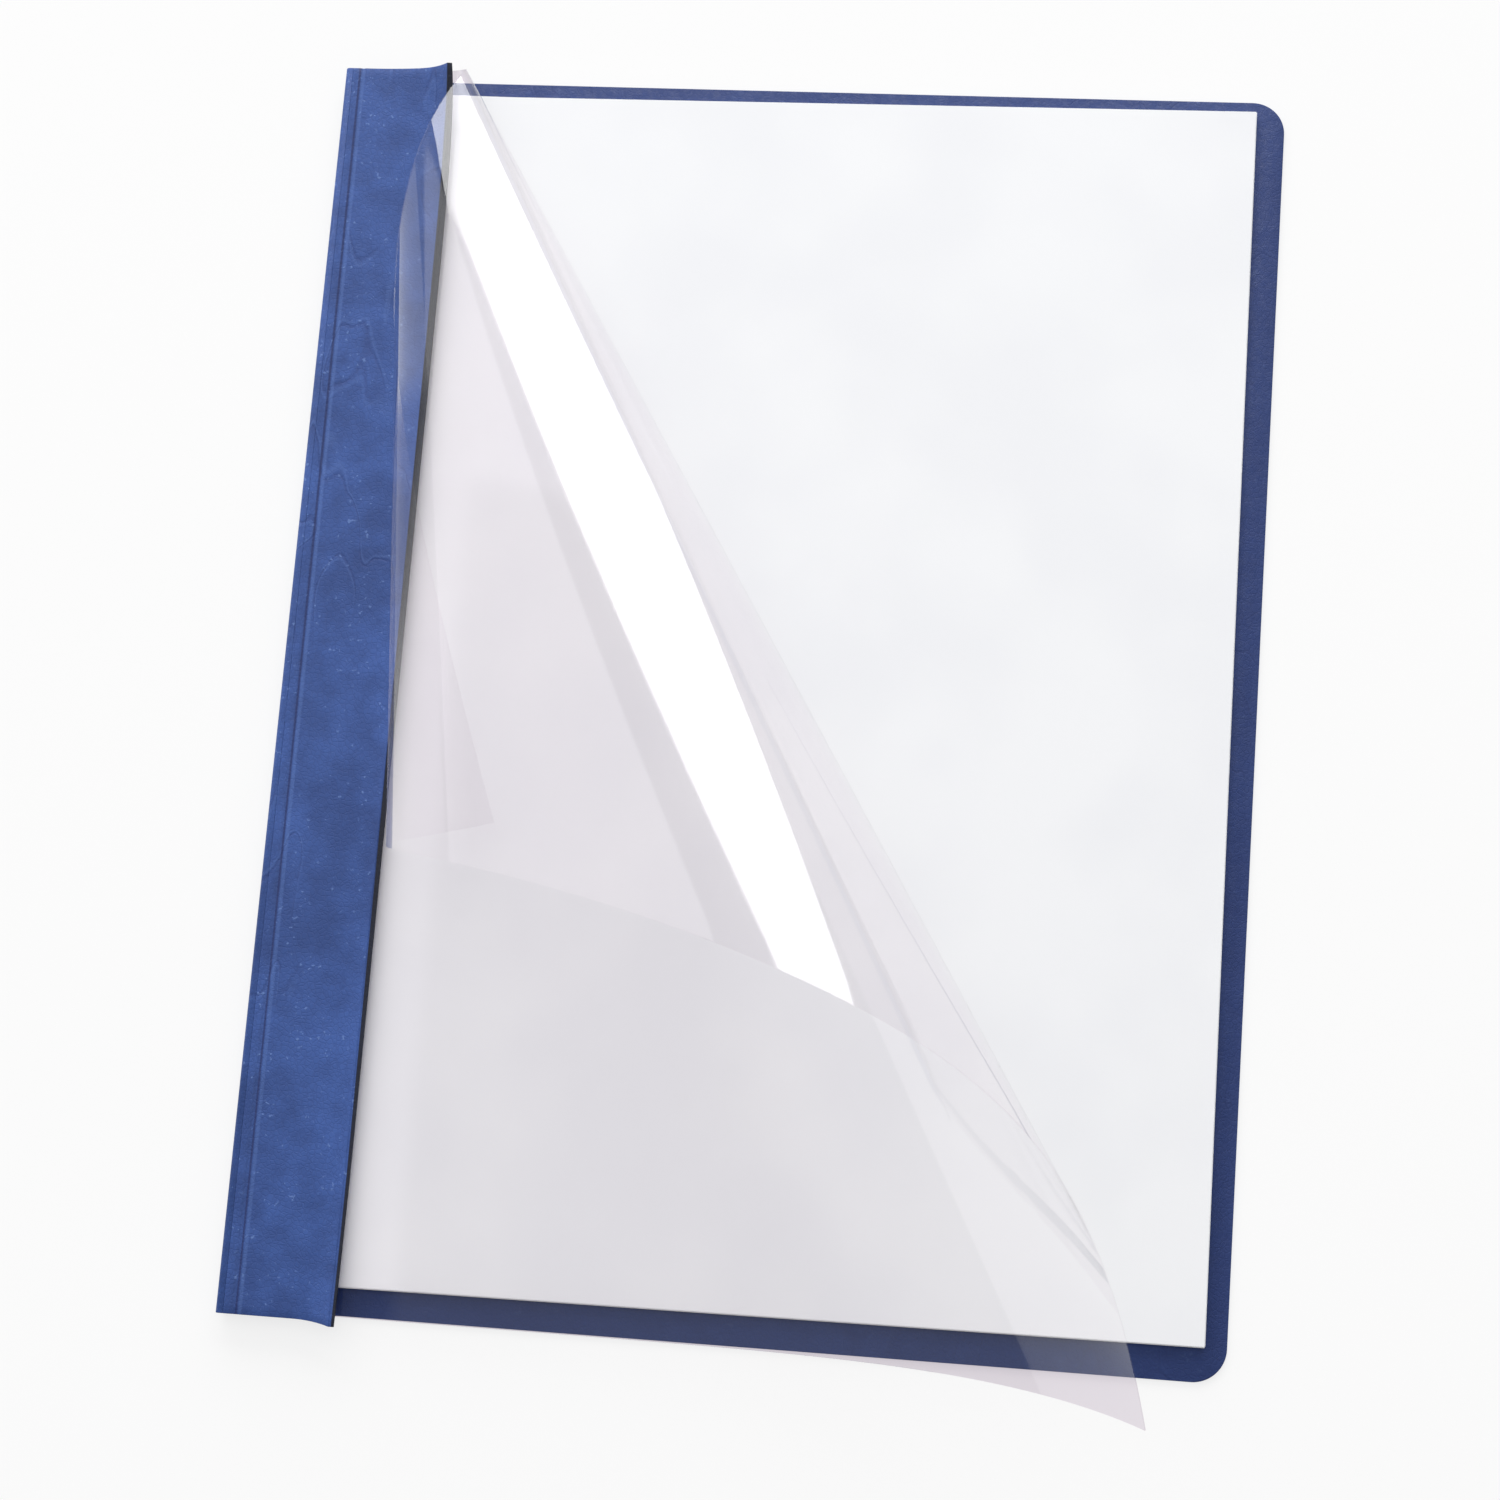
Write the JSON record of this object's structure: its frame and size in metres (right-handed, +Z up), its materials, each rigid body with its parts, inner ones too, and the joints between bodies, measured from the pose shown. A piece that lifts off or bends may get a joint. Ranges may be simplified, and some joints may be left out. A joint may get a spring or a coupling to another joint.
{
  "type": "brief cover",
  "caption": "Grained card brief cover with a clear plastic front sheet that curls back over its bound pages.",
  "frame": {"origin": "centre of the back panel's underside, on the table", "axes": "+X from the spine to the open side, +Y from the foot of the cover to its top, +Z up from the table"},
  "size_m": [0.2234, 0.2973, 0.0972],
  "materials": {
    "grained_card": "blue coated card embossed with a fine leather grain, satin",
    "clear_film": "clear gloss plastic sheet",
    "paper": "matt white paper",
    "binding_card": "matt blue card",
    "tinned_steel": "bright tinned steel strip"
  },
  "bodies": {
    "back": {"back_cover": "grained_card", "page_stack": "paper", "fastener_strip": "binding_card", "tang_fastener_1": "tinned_steel", "tang_fastener_2": "tinned_steel", "tang_fastener_3": "tinned_steel"},
    "front": {"front_strip": "grained_card", "clear_front": "clear_film"}
  },
  "joints": [
    {"name": "front_cover_hinge", "type": "hinge", "parent": "back", "child": "front", "pos_m": [-0.1073, 0, 0.0047], "axis": [0, -1, 0], "range_deg": [0, 180]}
  ]
}
